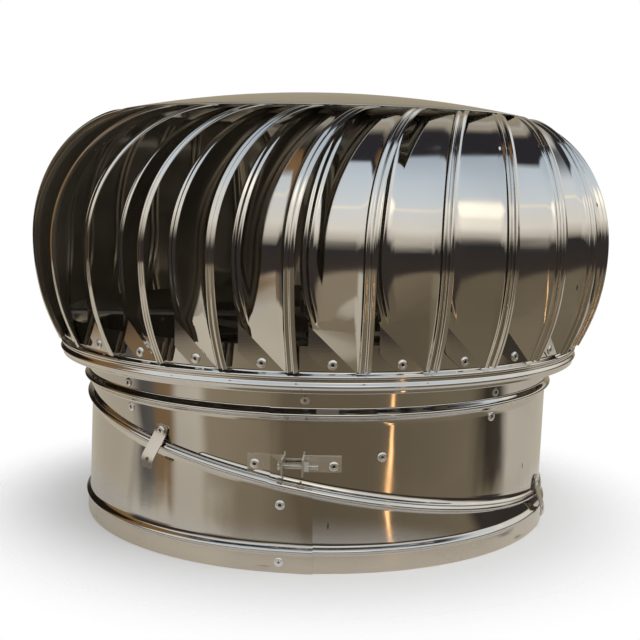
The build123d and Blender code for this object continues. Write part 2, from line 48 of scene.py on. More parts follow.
# Base
collar_radius = 250.5
skirt_radius = 253.0
skirt_height = 17.0
skirt_bead_top = 25.0
skirt_bead_proud = 3.0
seam_height = 82.992
seam_tilt = radians(11.0)
seam_azimuth = radians(-6.8)
seam_bead_half = 5.5
seam_bead_proud = 4.4
seam_inner_radius = 250.9
seam_outer_radius = 252.4
seam_lip = 3.8
seam_wall_foot = 5.4
seam_ridge_swell = 1.3
seam_valley_height = 2.4
seam_valley_proud = 2.3
seam_lip_proud = 2.2
collar_bead_bottom = 142.484
collar_bead_top = 153.484
collar_bead_proud = 5.5
neck_top = 195.984
upper_lap_angle = -9.6
upper_lap_width = 13.0
lower_lap_angle = -0.3
lower_lap_width = 16.7
lap_step = 0.9
lap_fade = 28.0
lap_spring = 1.3
lap_spring_angle = 7.0
collar_sheet = 0.7
collar_columns = 300

# Rotor
ring_radius = 277.5
ring_bottom = 171.984
ring_top = 213.984
ring_lip = 2.4
ring_bead_pitch = 8.4
ring_bead_proud = 3.5
ring_valley = 1.2
vane_count = 28
vane_first_angle = 2.7
vane_sheet = 0.6
vane_lean = radians(27.0)
vane_width = 71.7
vane_top_width = 62.0
equator_height = 292.984
equator_reach = 308.2
bead_offset = 33.5
upper_bend_radius = 132.5
lower_bend_radius = 209.9
tongue_angle = 88.0
rib_width = 6.2
rib_height = 2.3
rib_fade = 34.0
rib_top_fade = 14.0
far_zone_share = 0.4
fold_top = 232.384
fold_left = -21.6
fold_right = 20.0
tab_bottom = 191.984
tab_side_bottom = 206.684
tab_corner = -4.1
tab_face = 278.4
cap_radius = 218.0
cap_rise = 22.8
cap_sheet = 0.6
cap_lip = 0.8
cap_rim_round = 0.6
cap_hole_radius = 4.2

# Straps and clamp bolt
strap_angles = (-37.0, 68.0, 195.0)
strap_width = 15.0
strap_sheet = 1.2
strap_gap = 0.5
strap_corner = 2.5
strap_bend = 5.0
strap_hole_radius = 2.2
strap_hole_inset = 7.5
bolt_angle = -4.45
bolt_radius = 2.5
bolt_head = 3.5
bolt_flats = 8.0
thread_pitch = 1.2
thread_depth = 0.42

# Rivets
rivet_radius = 4.6
rivet_head = 1.4
mandrel_radius = 1.6


def front_point(angle, radius, height):
    """Point at an angle in degrees from the front towards the right."""
    turn = radians(angle)
    return Vector((radius * sin(turn), -radius * cos(turn), height))


def ease(share):
    """Smooth step from 0 to 1."""
    share = min(1.0, max(0.0, share))
    return share * share * (3 - 2 * share)


def mesh_object(name, points, faces, material, smooth=True):
    mesh = bpy.data.meshes.new(name)
    mesh.from_pydata([point * MM for point in points], [], faces)
    mesh.materials.append(material)
    mesh.polygons.foreach_set("use_smooth", [smooth] * len(mesh.polygons))
    made = bpy.data.objects.new(name, mesh)
    bpy.context.scene.collection.objects.link(made)
    return made


def grid_faces(row_count, column_count, closed=False):
    """Quads of a grid whose rows run upward and whose columns run to the right, seen from outside."""
    faces = []
    for row in range(row_count - 1):
        for column in range(column_count if closed else column_count - 1):
            following = (column + 1) % column_count
            low, high = row * column_count, (row + 1) * column_count
            faces.append((low + column, low + following, high + following, high + column))
    return faces


def sheet_object(name, rows, material, thickness, closed=False):
    """Sheet of metal whose outer face runs through rows of points."""
    points = [point for row in rows for point in row]
    made = mesh_object(name, points, grid_faces(len(rows), len(rows[0]), closed), material)
    thicken(made, thickness, set())
    return made


def thicken(made, thickness, folds):
    """Give a sheet its thickness and its duller inner side, whose dark colour is painted shade, with crisp
    edges at its rims and folds.
    """
    made.data.materials.append(inner_shade_steel)
    solid = made.modifiers.new("Sheet", "SOLIDIFY")
    solid.thickness = thickness * MM
    solid.offset = -1.0
    solid.material_offset = 1
    depsgraph = bpy.context.evaluated_depsgraph_get()
    thick = bpy.data.meshes.new_from_object(made.evaluated_get(depsgraph))
    made.modifiers.clear()
    made.data = thick
    sharpen(thick, folds)


def sharpen(mesh, folds=()):
    """Mark the edges where the faces turn sharply, and those along a fold."""
    sides = {}
    for face in mesh.polygons:
        for key in face.edge_keys:
            sides.setdefault(key, []).append(face.normal)
    for edge in mesh.edges:
        normals = sides.get(edge.key, [])
        bent = len(normals) == 2 and normals[0].dot(normals[1]) < cos(crisp_angle)
        edge.use_edge_sharp = bent or (edge.vertices[0] in folds and edge.vertices[1] in folds)


def place(made, body, slot_name, *replaced):
    """Make a piece ride its body and stand for its solids; the slot name is not used."""
    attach(made, body)
    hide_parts(*replaced)


# Node helpers for materials and the stage


def add_node(tree, kind, inputs=(), **settings):
    made = tree.nodes.new(kind)
    for key, value in settings.items():
        setattr(made, key, value)
    for key, value in dict(inputs).items():
        if isinstance(value, bpy.types.NodeSocket):
            tree.links.new(value, made.inputs[key])
        else:
            made.inputs[key].default_value = value
    return made


def calculate(tree, operation, first, second=0.0, third=0.0):
    made = add_node(tree, "ShaderNodeMath", {0: first, 1: second, 2: third}, operation=operation)
    return made.outputs[0]


def spread(tree, value, low, high, to_low=0.0, to_high=1.0):
    """Value carried from one range to another, smoothly and without leaving it."""
    inputs = {"Value": value, "From Min": low, "From Max": high, "To Min": to_low, "To Max": to_high}
    return add_node(tree, "ShaderNodeMapRange", inputs, interpolation_type="SMOOTHSTEP").outputs[0]


def mix_colour(tree, share, first, second):
    made = add_node(tree, "ShaderNodeMix", data_type="RGBA")
    for key, value in ((0, share), (6, first), (7, second)):
        if isinstance(value, bpy.types.NodeSocket):
            tree.links.new(value, made.inputs[key])
        else:
            made.inputs[key].default_value = value
    return made.outputs[2]


def ramp(tree, value, stops):
    """Colour ramp through (place, colour) stops."""
    made = add_node(tree, "ShaderNodeValToRGB", {"Fac": value})
    band = made.color_ramp
    band.elements[0].position, band.elements[0].color = stops[0][0], (*stops[0][1], 1)
    band.elements[1].position, band.elements[1].color = stops[-1][0], (*stops[-1][1], 1)
    for position, colour in stops[1:-1]:
        band.elements.new(position).color = (*colour, 1)
    return made.outputs["Color"]


def new_material(name):
    material = bpy.data.materials.new(name)
    material.use_nodes = True
    tree = material.node_tree
    return material, tree, tree.nodes["Principled BSDF"]


def noise(tree, vector, scale, detail, random=0.0):
    inputs = {"Vector": vector, "W": random, "Scale": scale, "Detail": detail}
    return add_node(tree, "ShaderNodeTexNoise", inputs, noise_dimensions="4D").outputs["Fac"]


speck_stretch = (1.0, 1.0, 0.35)
speck_cells = 42.0
smudge_stretch = (16.0, 16.0, 110.0)
dirt_colour = (0.075, 0.06, 0.045, 1)
skirt_tint = (0.66, 0.59, 0.49, 1)


def stretch(tree, vector, amounts):
    return add_node(tree, "ShaderNodeVectorMath", {0: vector, 1: amounts}, operation="MULTIPLY").outputs[0]


def speck_marks(tree, place_in_object, colour, gloss):
    """Sparse upright specks of dirt."""
    cells = {"Vector": stretch(tree, place_in_object, speck_stretch), "Scale": speck_cells}
    distance = add_node(tree, "ShaderNodeTexVoronoi", cells).outputs["Distance"]
    speck = spread(tree, distance, 0.03, 0.06, 0.75, 0.0)
    colour = mix_colour(tree, speck, colour, dirt_colour)
    return colour, calculate(tree, "MULTIPLY_ADD", speck, 0.4, gloss)


def collar_marks(tree, place_in_object, colour, gloss):
    """Specks, and a skirt that is duller, warmer and smudged."""
    colour, gloss = speck_marks(tree, place_in_object, colour, gloss)
    height = add_node(tree, "ShaderNodeSeparateXYZ", {0: place_in_object}).outputs["Z"]
    skirt = spread(tree, height, (skirt_height - 1) * MM, (skirt_height + 1) * MM, 1.0, 0.0)
    colour = mix_colour(tree, skirt, colour, skirt_tint)
    blot = noise(tree, stretch(tree, place_in_object, smudge_stretch), 1.0, 2.0)
    smudge = calculate(tree, "MULTIPLY", spread(tree, blot, 0.63, 0.74, 0.0, 0.7), skirt)
    colour = mix_colour(tree, smudge, colour, dirt_colour)
    return colour, calculate(tree, "MULTIPLY_ADD", skirt, 0.16, gloss)


def metal(name, dark, pale, roughness, roughness_spread, wave_height, grain, metallic=1.0, marks=None):
    """Bare metal: cloudy tint, patchy gloss, a slight waviness of the sheet, a fine grain and marks."""
    material, tree, shader = new_material(name)
    place_in_object = add_node(tree, "ShaderNodeTexCoord").outputs["Object"]
    random = calculate(tree, "MULTIPLY", add_node(tree, "ShaderNodeObjectInfo").outputs["Random"], 40.0)
    cloud = noise(tree, place_in_object, 9.0, 3.0, random)
    colour = mix_colour(tree, spread(tree, cloud, 0.35, 0.65), (*dark, 1), (*pale, 1))
    grain_way, grain_height = grain
    streaks = noise(tree, stretch(tree, place_in_object, grain_way), 1.0, 2.0, random)
    patch = noise(tree, place_in_object, 26.0, 4.0, random)
    gloss = spread(tree, patch, 0.35, 0.75, roughness, roughness + roughness_spread)
    wave = noise(tree, place_in_object, 14.0, 0.0, random)
    heights = {"Height": wave, "Strength": 1.0, "Distance": wave_height * MM}
    waved = add_node(tree, "ShaderNodeBump", heights).outputs[0]
    fine = {"Height": streaks, "Strength": 1.0, "Distance": grain_height * MM, "Normal": waved}
    grained = add_node(tree, "ShaderNodeBump", fine).outputs[0]
    if marks:
        colour, gloss = marks(tree, place_in_object, colour, gloss)
    shader.inputs["Metallic"].default_value = metallic
    tree.links.new(colour, shader.inputs["Base Color"])
    tree.links.new(gloss, shader.inputs["Roughness"])
    tree.links.new(grained, shader.inputs["Normal"])
    return material


upright_grain = ((900.0, 900.0, 20.0), 0.006)
level_grain = ((25.0, 25.0, 900.0), 0.004)
even_grain = ((500.0, 500.0, 500.0), 0.004)
rotor_steel = metal(
    "rotor_steel", (0.60, 0.585, 0.56), (0.66, 0.645, 0.62), 0.045, 0.07, 1.2, level_grain, 1.0, speck_marks
)
collar_steel = metal(
    "collar_steel", (0.58, 0.56, 0.53), (0.65, 0.63, 0.60), 0.05, 0.08, 1.0, level_grain, 1.0, collar_marks
)
# Inner side: rougher than the outer face, and painted dark brown as the shade inside the rotor and collars.
inner_shade_steel = metal(
    "inner_shade_steel", (0.19, 0.16, 0.12), (0.28, 0.245, 0.19), 0.14, 0.14, 1.2, level_grain, 0.65
)
satin_steel = metal(
    "satin_steel", (0.50, 0.45, 0.39), (0.62, 0.57, 0.51), 0.22, 0.12, 0.4, upright_grain, 0.95
)
bracket_steel = metal(
    "bracket_steel", (0.54, 0.48, 0.38), (0.66, 0.60, 0.50), 0.26, 0.14, 0.4, level_grain, 0.82
)
zinc_steel = metal("zinc_steel", (0.55, 0.54, 0.50), (0.72, 0.70, 0.64), 0.24, 0.15, 0.3, even_grain)
pale_zinc = metal("pale_zinc", (0.78, 0.78, 0.75), (0.88, 0.88, 0.85), 0.30, 0.15, 0.3, even_grain, 0.7)
bar_steel = metal("bar_steel", (0.42, 0.42, 0.42), (0.56, 0.56, 0.57), 0.34, 0.16, 0.5, even_grain)
ground_steel = metal("ground_steel", (0.52, 0.52, 0.52), (0.62, 0.62, 0.62), 0.18, 0.08, 0.2, level_grain)
rivet_metal = metal("rivet_aluminium", (0.78, 0.78, 0.78), (0.88, 0.88, 0.87), 0.30, 0.14, 0.2, even_grain)
# The mandrel and the wall and floor of its hole are painted near-black as the shade inside the hole.
hole_shade_metal = metal("mandrel_hole_shade", (0.05, 0.045, 0.04), (0.12, 0.11, 0.10), 0.4, 0.2, 0.2, even_grain)

# Collars: rows of (kind, height, radius), where seam rows are level with the slanting seam

swivel_way = Vector((sin(seam_tilt) * cos(seam_azimuth), sin(seam_tilt) * sin(seam_azimuth), cos(seam_tilt)))
level_way = Vector((-sin(seam_azimuth), cos(seam_azimuth), 0))
seam_centre = Vector((0, 0, seam_height))
up = Vector((0, 0, 1))


def collar_point(row, angle):
    kind, height, radius = row
    turn = radians(angle) - pi - seam_azimuth
    axis = swivel_way if kind == "seam" else up
    centre = seam_centre + swivel_way * height if kind == "seam" else up * height
    return centre + (level_way * cos(turn) + axis.cross(level_way) * sin(turn)) * radius


def widened(row, extra):
    return (row[0], row[1], row[2] + extra)


def swelling(kind, low, high, low_radius, high_radius, proud, count):
    """Rows of a round bead between two heights."""
    rows = []
    for i in range(count + 1):
        share = i / count
        radius = low_radius + (high_radius - low_radius) * ease(share) + proud * sin(pi * share) ** 1.4
        rows.append((kind, low + (high - low) * share, radius))
    return rows


def collar_sheet_rows(below, above, ruled, angles, lifts, held):
    """Rows of points: plain rows, a ruled wall to the next rim, and plain rows again."""
    rows = []
    for row in below:
        rows.append([collar_point(widened(row, lift), angle) for angle, lift in zip(angles, lifts)])
    for i in range(1, ruled):
        share = i / ruled
        line = []
        for angle, lift in zip(angles, lifts):
            low = collar_point(widened(below[-1], lift), angle)
            high = collar_point(widened(above[0], lift * held), angle)
            line.append(low.lerp(high, share))
        rows.append(line)
    for row in above:
        rows.append([collar_point(widened(row, lift * held), angle) for angle, lift in zip(angles, lifts)])
    return rows


def lap_angles(start, lap):
    """Columns of a sheet that runs past a full turn."""
    sweep = 360.0 + lap
    return [start + sweep * i / collar_columns for i in range(collar_columns + 1)]


def lap_lift(distance, lap):
    """Rise of the outer sheet at a distance in degrees from its visible end."""
    step = lap_step * ease(1 - (distance - lap) / lap_fade)
    return step + lap_spring * ease(1 - distance / lap_spring_angle)


wall_rows = 14
lower_angles = lap_angles(lower_lap_angle - lower_lap_width, lower_lap_width)
lower_end = lower_angles[-1]
lower_lifts = [lap_lift(lower_end - angle, lower_lap_width) for angle in lower_angles]
skirt_levels = (0.0, 0.6, 6.0, 12.0, skirt_height - 0.8)
skirt_rows = [("level", height, skirt_radius) for height in skirt_levels]
skirt_rows += swelling(
    "level", skirt_height, skirt_bead_top, skirt_radius, collar_radius, skirt_bead_proud, 12
)
inner_bead_rows = swelling(
    "seam", -seam_bead_half, seam_bead_half, seam_inner_radius, seam_inner_radius, seam_bead_proud, 10
)
lower_rows = collar_sheet_rows(skirt_rows, inner_bead_rows, wall_rows, lower_angles, lower_lifts, 0.0)
lower_skin = sheet_object("lower_collar_skin", lower_rows, collar_steel, collar_sheet)
place(lower_skin, "lower_base", "polished_steel", "lower_collar")

upper_angles = lap_angles(upper_lap_angle, upper_lap_width)
upper_start = upper_angles[0]
upper_lifts = [lap_lift(angle - upper_start, upper_lap_width) for angle in upper_angles]
outer_bead_rows = []
lip_steps = 8
for i in range(lip_steps + 1):
    share = i / lip_steps
    level = -seam_lip + (seam_valley_height + seam_lip) * share
    foot = seam_lip_proud + (seam_valley_proud - seam_lip_proud) * share
    proud = foot + (seam_bead_proud - seam_lip_proud) * sin(pi * share)
    outer_bead_rows.append(("seam", level, seam_outer_radius + proud))
ridge_width = seam_wall_foot - seam_valley_height
ridge_steps = 7
for i in range(1, ridge_steps + 1):
    share = i / ridge_steps
    level = seam_valley_height + ridge_width * share
    proud = seam_valley_proud * (1 - ease(share)) + seam_ridge_swell * sin(pi * share)
    outer_bead_rows.append(("seam", level, seam_outer_radius + proud))
neck_rows = swelling(
    "level", collar_bead_bottom, collar_bead_top, collar_radius, collar_radius, collar_bead_proud, 14
)
neck_levels = (154.5, 164.0, 175.0, 186.0, neck_top)
neck_rows += [("level", height, collar_radius) for height in neck_levels]
upper_rows = collar_sheet_rows(outer_bead_rows, neck_rows, wall_rows, upper_angles, upper_lifts, 1.0)
upper_skin = sheet_object("upper_collar_skin", upper_rows, collar_steel, collar_sheet)
place(upper_skin, "upper_base", "polished_steel", "upper_collar")

# Rotor ring: rolled lip, two beads and a plain band

full_turn = [360.0 * i / collar_columns for i in range(collar_columns)]
ring_profile = [
    (ring_bottom, 0.2),
    (ring_bottom + 0.4, 0.8),
    (ring_bottom + 1.4, 1.0),
    (ring_bottom + ring_lip, 1.0),
]
ring_bead_steps = 24
ring_levels = (192.2, 198.0, 206.0, ring_top)
bead_foot = ring_bottom + ring_lip
for i in range(1, ring_bead_steps + 1):
    share = i / ring_bead_steps
    swing = sin(2 * pi * share) ** 2
    base = 1.0 if share < 0.25 else ring_valley if share < 0.75 else 0.0
    height = bead_foot + 2 * ring_bead_pitch * share
    ring_profile.append((height, base + (ring_bead_proud - base) * swing))
for height in ring_levels:
    ring_profile.append((height, 0.0))
ring_rows = []
for height, proud in ring_profile:
    ring_rows.append([front_point(angle, ring_radius + proud, height) for angle in full_turn])
ring_skin = sheet_object("rotor_ring_skin", ring_rows, rotor_steel, collar_sheet, closed=True)
place(ring_skin, "rotor", "polished_steel", "rotor_ring")

# Vanes: one strip with its folded tab, drawn with the rivet straight ahead and turned into its places

strip_way = Vector((-cos(vane_lean), sin(vane_lean), 0))
strip_outward = Vector((-sin(vane_lean), -cos(vane_lean), 0))
equator_edge = Vector((bead_offset, -equator_reach, equator_height))
bend_centre = equator_edge - strip_outward * upper_bend_radius
equator_far = equator_edge + strip_way * vane_width


def foot_edge(height):
    drop = equator_height - height
    inward = lower_bend_radius - sqrt(lower_bend_radius**2 - drop**2)
    return Vector((bead_offset, -equator_reach + inward, height))


def fold_point(height):
    share = (fold_top - height) / (fold_top - tab_bottom)
    return Vector((fold_left + share * (fold_right - fold_left), -tab_face, height))


def far_edge(height):
    """Inner edge of the strip between the fold and the equator."""
    share = (equator_height - height) / (equator_height - fold_top)
    fold_end = fold_point(fold_top)
    reach = equator_far.lerp(fold_end, share * share)
    return Vector((reach.x, reach.y, height))


def rib(distance):
    """Height of two round ribs side by side at a distance from the edge."""
    if distance >= 2 * rib_width:
        return 0.0
    return rib_height * sin(pi * distance / rib_width) ** 2


rib_steps = [rib_width * i / 8 for i in range(17)]
plain_steps = 6


def strip_row(near, far, outward, near_share, far_share):
    """One section of the strip, from its inner edge to its outer edge."""
    across = far - near
    width = across.length
    ribbed = 2 * rib_width
    far_zone = min(ribbed, (width - ribbed) * far_zone_share)
    plain_width = width - ribbed - far_zone
    plain = [ribbed + plain_width * i / plain_steps for i in range(1, plain_steps)]
    far_steps = [width - step * far_zone / ribbed for step in reversed(rib_steps)]
    stations = rib_steps + plain + far_steps
    line = []
    for station in reversed(stations):
        proud = near_share * rib(station) + far_share * rib(width - station)
        line.append(near + across * (station / width) + outward * proud)
    return line


def level_outward(near, far, slope):
    """Outward way of a level section, tipped by the slope of the strip there."""
    across = (far - near).normalized()
    flat = Vector((across.y, -across.x, 0))
    return (flat if flat.y < 0 else -flat) * cos(slope) - up * sin(slope)


strip_rows = []
tab_rows = []
foot_steps, side_steps, bend_steps = 10, 10, 30
for i in range(foot_steps):
    height = tab_bottom + (fold_top - tab_bottom) * i / foot_steps
    near, far = foot_edge(height), fold_point(height)
    slope = (equator_height - height) / lower_bend_radius
    strip_rows.append(strip_row(near, far, level_outward(near, far, slope), 1.0, 0.0))
for i in range(side_steps):
    height = fold_top + (equator_height - fold_top) * i / side_steps
    near, far = foot_edge(height), far_edge(height)
    slope = (equator_height - height) / lower_bend_radius
    far_share = ease((height - fold_top) / rib_fade)
    strip_rows.append(strip_row(near, far, level_outward(near, far, slope), 1.0, far_share))
for i in range(bend_steps + 1):
    angle = tongue_angle * i / bend_steps
    turn = radians(angle)
    outward = strip_outward * cos(turn) + up * sin(turn)
    near = bend_centre + outward * upper_bend_radius
    width = vane_width + (vane_top_width - vane_width) * angle / tongue_angle
    flatten = ease((tongue_angle - angle) / rib_top_fade)
    strip_rows.append(strip_row(near, near + strip_way * width, outward, flatten, flatten))

tab_columns = 6
for i in range(foot_steps + 1):
    height = tab_bottom + (fold_top - tab_bottom) * i / foot_steps
    right = fold_point(height)
    rise = (height - tab_bottom) / (tab_side_bottom - tab_bottom)
    left_x = min(tab_corner + (fold_left - tab_corner) * min(1.0, rise), right.x - 0.3)
    left = Vector((left_x, -tab_face, height))
    tab_rows.append([left.lerp(right, j / tab_columns) for j in range(tab_columns)])

strip_columns = len(strip_rows[0])
vane_points = [point for row in strip_rows for point in row]
vane_faces = grid_faces(len(strip_rows), strip_columns)
tab_start = len(vane_points)
vane_points += [point for row in tab_rows for point in row]
for row in range(foot_steps):
    low, high = tab_start + row * tab_columns, tab_start + (row + 1) * tab_columns
    for column in range(tab_columns - 1):
        vane_faces.append((low + column, low + column + 1, high + column + 1, high + column))
    low_fold, high_fold = row * strip_columns, (row + 1) * strip_columns
    vane_faces.append((low + tab_columns - 1, low_fold, high_fold, high + tab_columns - 1))

pattern = mesh_object("vane_pattern", vane_points, vane_faces, rotor_steel)
thicken(pattern, vane_sheet, {row * strip_columns for row in range(foot_steps + 1)})
vane_mesh = pattern.data
bpy.data.objects.remove(pattern)
for number in range(vane_count):
    turned_mesh = vane_mesh.copy()
    turned_mesh.transform(Matrix.Rotation(radians(vane_first_angle + number * 360 / vane_count), 4, "Z"))
    vane = bpy.data.objects.new(f"vane_skin_{number + 1:02d}", turned_mesh)
    bpy.context.scene.collection.objects.link(vane)
    place(vane, "rotor", "polished_steel", f"vane_{number + 1:02d}")

# Top cap: a smooth dome with a small turned-down rim

cap_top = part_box("top_cap")[1].z / MM
cap_sphere = (cap_radius**2 + cap_rise**2) / (2 * cap_rise)
cap_centre = cap_top - cap_sphere
cap_profile = []
cap_steps = 24
for i in range(cap_steps):
    radius = (cap_radius - cap_rim_round) * (1 - i / cap_steps) + cap_hole_radius * i / cap_steps
    cap_profile.append((radius, cap_centre + sqrt(cap_sphere**2 - radius**2)))
rim_height = cap_profile[0][1]
cap_rim = [(cap_radius, rim_height - cap_lip), (cap_radius, rim_height - cap_rim_round)]
cap_profile = cap_rim + cap_profile
cap_rows = [[front_point(a, radius, height) for a in full_turn] for radius, height in cap_profile]
cap_skin = sheet_object("top_cap_skin", cap_rows, rotor_steel, cap_sheet, closed=True)
place(cap_skin, "rotor", "polished_steel", "top_cap")

# Rivets: a domed head with the broken mandrel in its hole, set on each solid head


def islands(mesh):
    """Groups of face indices that hang together."""
    owner = list(range(len(mesh.vertices)))

    def root(index):
        while owner[index] != index:
            owner[index] = owner[owner[index]]
            index = owner[index]
        return index

    welded = {}
    for vertex in mesh.vertices:
        key = tuple(round(value, 6) for value in vertex.co)
        owner[vertex.index] = root(welded.setdefault(key, vertex.index))
    for face in mesh.polygons:
        first = root(face.vertices[0])
        for index in face.vertices[1:]:
            owner[root(index)] = first
    groups = {}
    for face in mesh.polygons:
        groups.setdefault(root(face.vertices[0]), []).append(face)
    return list(groups.values())


def head_frame(mesh, faces):
    """Centre of a rivet head's top and the way it faces."""
    ways = {}
    for face in faces:
        key = tuple(round(value, 2) for value in face.normal)
        ways.setdefault(key, []).append(face)
    middle = Vector((0, 0, 0))
    for face in faces:
        middle += face.center / len(faces)
    outward = Vector((middle.x, middle.y, 0)).normalized()
    facing = [group for group in ways.values() if group[0].normal.dot(outward) > 0.5]
    top = max(facing, key=lambda group: sum(face.area for face in group))
    area = sum(face.area for face in top)
    centre = Vector((0, 0, 0))
    for face in top:
        centre += face.center * (face.area / area)
    return centre / MM, top[0].normal.copy()


rivet_sides = 28
rivet_profile = [
    (rivet_radius, 0.0),
    (rivet_radius, 0.35),
    (rivet_radius * 0.96, 0.66),
    (rivet_radius * 0.87, 0.98),
    (rivet_radius * 0.73, 1.24),
    (rivet_radius * 0.56, rivet_head),
    (mandrel_radius * 1.3, rivet_head - 0.02),
    (mandrel_radius * 1.08, rivet_head - 0.12),
    (mandrel_radius, rivet_head - 0.4),
    (mandrel_radius, 0.4),
    (mandrel_radius * 0.72, 0.4),
    (mandrel_radius * 0.66, 0.72),
    (mandrel_radius * 0.4, 0.85),
]
# From this row inward, the hole's wall and floor and the mandrel take the painted shade of the hole.
hole_row = 8
rivet_groups = {
    "vane_rivets": "rotor",
    "strap_rivets": "upper_base",
    "bracket_rivets": "upper_base",
    "collar_rivets": "upper_base",
    "cross_rivets": "upper_base",
    "skirt_rivets": "lower_base",
}
for group_name, body in rivet_groups.items():
    solid = nodes[group_name].data
    points, faces, hole_shade_faces = [], [], []
    for island in islands(solid):
        top, facing_way = head_frame(solid, island)
        side = facing_way.cross(up).normalized()
        rise = side.cross(facing_way)
        start = len(points)
        foot = top - facing_way * rivet_head
        for radius, height in rivet_profile:
            for i in range(rivet_sides):
                turn = 2 * pi * i / rivet_sides
                points.append(foot + facing_way * height + (side * -cos(turn) + rise * sin(turn)) * radius)
        for row, face in enumerate(grid_faces(len(rivet_profile), rivet_sides, closed=True)):
            hole_shade_faces.append(row // rivet_sides >= hole_row)
            faces.append(tuple(start + index for index in face))
        last = start + (len(rivet_profile) - 1) * rivet_sides
        faces.append(tuple(last + i for i in range(rivet_sides)))
        hole_shade_faces.append(True)
    heads = mesh_object(f"{group_name}_heads", points, faces, rivet_metal)
    heads.data.materials.append(hole_shade_metal)
    heads.data.polygons.foreach_set("material_index", [1 if dark else 0 for dark in hole_shade_faces])
    place(heads, body, "rivet_aluminium", group_name)

# Straps: plates that leave the wall below their rivet, lean out over the seam and end upright


def rounded(corners, bend, steps):
    """Points along a bent line whose inner corners are rounded."""
    points = [corners[0]]
    for before, corner, after in zip(corners, corners[1:], corners[2:]):
        start = corner + (before - corner).normalized() * bend
        end = corner + (after - corner).normalized() * bend
        for i in range(steps + 1):
            share = i / steps
            points.append(start.lerp(corner, share).lerp(corner.lerp(end, share), share))
    points.append(corners[-1])
    return points


def strap_ways(angle):
    """Middle of a strap's foot on the slanting wall, with its ways aside, up and outward."""
    out = front_point(angle, 1.0, 0.0)
    along = (out - swivel_way * out.dot(swivel_way)).normalized()
    low = seam_centre + swivel_way * seam_wall_foot + along * seam_outer_radius
    high = Vector((along.x, along.y, 0)).normalized() * collar_radius + up * collar_bead_bottom
    facing = swivel_way.cross(along).cross(high - low).normalized()
    aside = swivel_way.cross(facing).normalized()
    return low + facing * strap_gap, aside, facing.cross(aside), facing


strap_line = [(0.0, 13.0), (0.0, 6.0), (12.4, -18.0), (13.2, -26.9)]
strap_columns = 8
strap_bend_steps = 6
strap_end_insets = (0.3, 1.0, 2.0)
hole_sides = 24
hole_depths = (-3.0, 5.0)
for number, angle in enumerate(strap_angles):
    foot, aside, rise, facing = strap_ways(angle)
    lean_out, lean_up = swivel_way.dot(facing), swivel_way.dot(rise)
    corners = [Vector(spot) for spot in strap_line[:2]]
    for out, level in strap_line[2:]:
        corners.append(Vector((out * lean_up + level * lean_out, level * lean_up - out * lean_out)))
    top, bottom = corners[0], corners[-1]
    line = rounded(corners, strap_bend, strap_bend_steps)
    for inset in strap_end_insets:
        line.insert(-1, bottom + (corners[-2] - bottom).normalized() * inset)
        line.insert(1, top + (corners[1] - top).normalized() * inset)
    line.sort(key=lambda spot: spot.y)
    rows = []
    for spot in line:
        inset = min((spot - top).length, (spot - bottom).length, strap_corner)
        cut = strap_corner - sqrt(strap_corner**2 - (strap_corner - inset) ** 2)
        half = strap_width / 2 - cut
        spots = [half * (2 * i / strap_columns - 1) for i in range(strap_columns + 1)]
        middle = foot + facing * (spot.x + strap_sheet) + rise * spot.y
        rows.append([middle + aside * across for across in spots])
    strap = sheet_object(f"strap_plate_{number + 1}", rows, satin_steel, strap_sheet)
    hole_spot = bottom + (corners[-2] - bottom).normalized() * strap_hole_inset
    hole_middle = foot + facing * hole_spot.x + rise * hole_spot.y
    cutter_points = []
    for depth in hole_depths:
        for i in range(hole_sides):
            turn = 2 * pi * i / hole_sides
            around_hole = (aside * cos(turn) + rise * sin(turn)) * strap_hole_radius
            cutter_points.append(hole_middle + facing * depth + around_hole)
    cutter_faces = grid_faces(len(hole_depths), hole_sides, closed=True)
    cutter_faces.append(tuple(range(hole_sides - 1, -1, -1)))
    cutter_faces.append(tuple(range(hole_sides, 2 * hole_sides)))
    cutter = mesh_object("strap_cutter", cutter_points, cutter_faces, satin_steel)
    cut_hole = strap.modifiers.new("Hole", "BOOLEAN")
    cut_hole.object = cutter
    cut_hole.solver = "EXACT"
    bpy.context.view_layer.update()
    holed = bpy.data.meshes.new_from_object(strap.evaluated_get(bpy.context.evaluated_depsgraph_get()))
    strap.modifiers.clear()
    strap.data = holed
    sharpen(holed)
    bpy.data.objects.remove(cutter)
    place(strap, "upper_base", "satin_steel", f"strap_{number + 1}")

# Clamp bolt: a hexagonal head and a thread along the shank

bolt_solid = nodes["clamp_bolt"].data
bolt_out = front_point(bolt_angle, 1.0, 0.0)
bolt_way = Vector((-bolt_out.y, bolt_out.x, 0))


def ends_along(way):
    """Lowest and highest place of the bolt along a way."""
    spots = [vertex.co.dot(way) / MM for vertex in bolt_solid.vertices]
    return min(spots), max(spots)


bolt_start, bolt_end = ends_along(bolt_way)
bolt_line = bolt_out * (sum(ends_along(bolt_out)) / 2) + up * (sum(ends_along(up)) / 2)
thread_start = bolt_start + bolt_head
thread_sides = 24
rows_per_turn = 6
thread_rows = int((bolt_end - thread_start) / thread_pitch * rows_per_turn)
bolt_points = []
for i in range(thread_rows + 1):
    along = thread_start + (bolt_end - thread_start) * i / thread_rows
    for j in range(thread_sides):
        turn = 2 * pi * j / thread_sides
        groove = 0.5 - 0.5 * cos(2 * pi * along / thread_pitch - turn)
        radius = min(bolt_radius - thread_depth * groove, bolt_radius - thread_depth + bolt_end - along)
        around_bolt = up * cos(turn) - bolt_out * sin(turn)
        bolt_points.append(bolt_line + bolt_way * along + around_bolt * radius)
bolt_faces = grid_faces(thread_rows + 1, thread_sides, closed=True)
last_ring = thread_rows * thread_sides
bolt_faces.append(tuple(last_ring + j for j in range(thread_sides)))
head_start = len(bolt_points)
head_radius = bolt_flats / sqrt(3)
head_sides = 6
head_profile = ((head_radius - 0.7, 0.0), (head_radius, 0.5), (head_radius, bolt_head))
